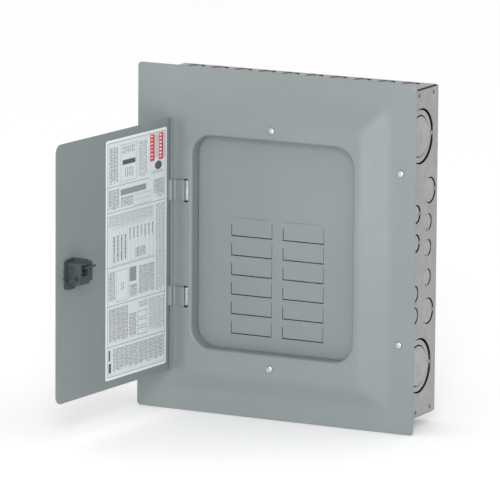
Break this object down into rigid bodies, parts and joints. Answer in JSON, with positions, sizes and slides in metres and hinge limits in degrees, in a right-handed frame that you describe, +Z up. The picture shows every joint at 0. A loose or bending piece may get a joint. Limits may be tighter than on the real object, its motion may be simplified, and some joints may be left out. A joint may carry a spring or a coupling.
{
  "type": "residential load center",
  "caption": "Flush-mount residential load center: galvanised box, raised grey trim with hinged door and twistouts, bus and neutral interior.",
  "frame": {"origin": "centre of the box's outer back face, the face that rests against the wall cavity", "axes": "+Z up, -Y out of the wall towards the door side, +X to the right as seen from the front"},
  "size_m": [0.3952, 0.3769, 0.4484],
  "materials": {
    "enamel": "satin grey baked enamel",
    "galvanised": "galvanised sheet, satin",
    "zinc": "bright zinc plate",
    "aluminium": "tin-plated, satin",
    "black_plastic": "matte moulded",
    "latch_plastic": "matte moulded",
    "green_zinc": "green dyed zinc",
    "label": "printed film, satin"
  },
  "bodies": {
    "enclosure": {"box_back_and_sides": "galvanised", "top_end_wall": "galvanised", "bottom_end_wall": "galvanised", "trim_cover": "enamel", "deadfront": "enamel", "interior_pan": "galvanised", "bus_insulator_base": "black_plastic", "bus_bar_a": "aluminium", "bus_bar_b": "aluminium", "main_lug_a": "aluminium", "main_lug_b": "aluminium", "neutral_lug": "aluminium", "main_lug_a_screw": "zinc", "main_lug_b_screw": "zinc", "neutral_lug_screw": "zinc", "breaker_rail_left": "galvanised", "breaker_rail_right": "galvanised", "neutral_stand_left": "black_plastic", "neutral_stand_right": "black_plastic", "neutral_bar_left": "aluminium", "neutral_bar_right": "aluminium", "bonding_screw": "green_zinc", "neutral_cross_strap": "aluminium", "ground_bar": "aluminium", "ground_bar_screw_upper": "zinc", "ground_bar_screw_lower": "zinc", "interior_screw_upper_left": "zinc", "interior_screw_upper_right": "zinc", "interior_screw_lower_left": "zinc", "interior_screw_lower_right": "zinc", "deadfront_post_top": "zinc", "deadfront_post_bottom": "zinc", "cover_screw_left_upper": "zinc", "cover_screw_right_upper": "zinc", "cover_screw_left_lower": "zinc", "cover_screw_right_lower": "zinc", "cover_screw_top": "zinc", "cover_screw_bottom": "zinc", "hinge_strap_upper": "enamel", "hinge_clip_upper": "zinc", "hinge_pin_upper": "zinc", "hinge_strap_lower": "enamel", "hinge_clip_lower": "zinc", "hinge_pin_lower": "zinc"},
    "door": {"door_panel": "enamel", "door_label": "label", "latch_housing": "latch_plastic"},
    "latch": {"latch_slide": "latch_plastic"}
  },
  "joints": [
    {"name": "door_hinge", "type": "hinge", "parent": "enclosure", "child": "door", "pos_m": [-0.14224, -0.11227, 0], "axis": [0, 0, 1], "range_deg": [-41, 94]},
    {"name": "latch_release", "type": "slide", "parent": "door", "child": "latch", "axis": [0.0698, 0.9976, 0], "range_m": [0, 0.0055], "stiffness_N_per_m": 200, "springref_m": -0.004}
  ]
}
